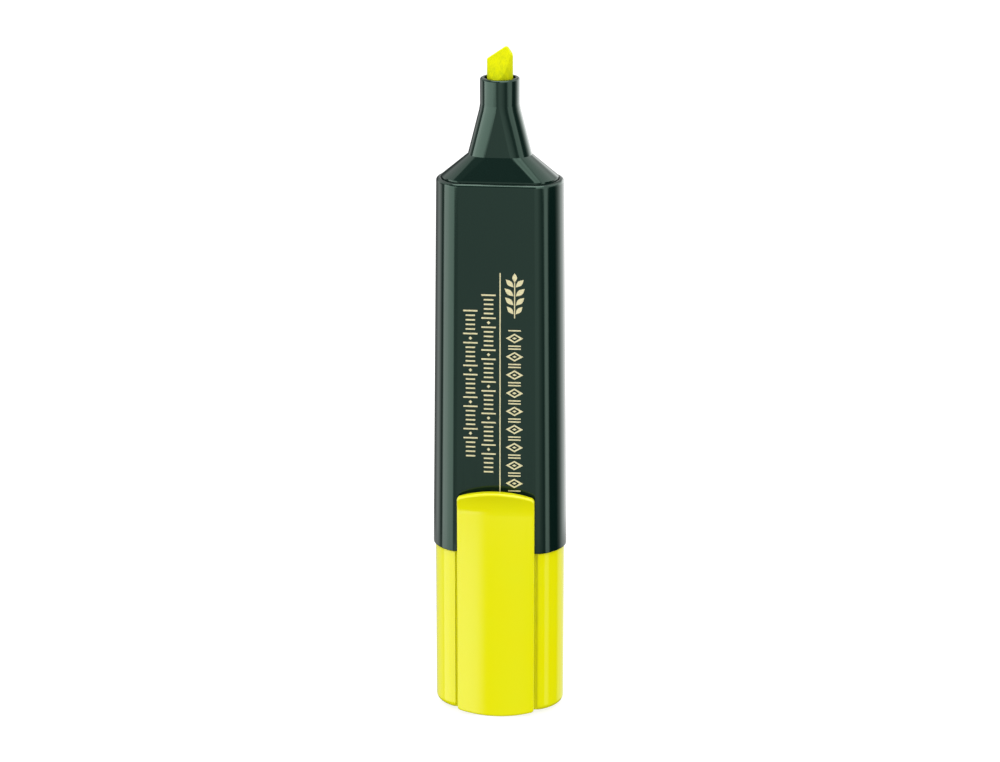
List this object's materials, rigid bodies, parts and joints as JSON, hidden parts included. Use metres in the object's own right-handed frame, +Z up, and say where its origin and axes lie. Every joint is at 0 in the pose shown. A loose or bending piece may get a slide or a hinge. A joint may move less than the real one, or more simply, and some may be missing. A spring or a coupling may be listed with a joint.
{
  "type": "highlighter pen",
  "caption": "Refillable chisel-nib highlighter with a flat oval barrel, its clip cap pushed onto the rear end, standing nib up.",
  "frame": {"origin": "middle of the foot on the cap's closed end, where the upright pen stands", "axes": "+Z up along the pen to the nib, -Y towards the clip side, +X towards the nib's long corner"},
  "size_m": [0.0266, 0.0173, 0.1344],
  "materials": {
    "body_plastic": "glossy dark green moulded plastic",
    "cap_plastic": "semi-gloss bright yellow moulded plastic",
    "seal_plastic": "natural milky polyethylene",
    "nib_felt": "bonded fibre soaked with fluorescent yellow ink",
    "reservoir_fibre": "loose fibre soaked with yellow ink",
    "reservoir_film": "thin clear wrapping film",
    "imprint_foil": "pale gold hot foil"
  },
  "bodies": {
    "cap": {"cap_shell": "cap_plastic", "seal_cup": "seal_plastic"},
    "pen": {"barrel": "body_plastic", "front_section": "body_plastic", "nib": "nib_felt", "reservoir_core": "reservoir_fibre", "reservoir_film": "reservoir_film", "rear_plug": "body_plastic"},
    "clip": {"cap_clip": "cap_plastic"}
  },
  "joints": [
    {"name": "pen_slide", "type": "slide", "parent": "cap", "child": "pen", "axis": [0, 0, 1], "range_m": [0, 0.035]},
    {"name": "clip_flex", "type": "hinge", "parent": "cap", "child": "clip", "pos_m": [0, -0.006, 0.00195], "axis": [1, 0, 0], "range_deg": [0, 2], "stiffness_Nm_per_rad": 3}
  ]
}
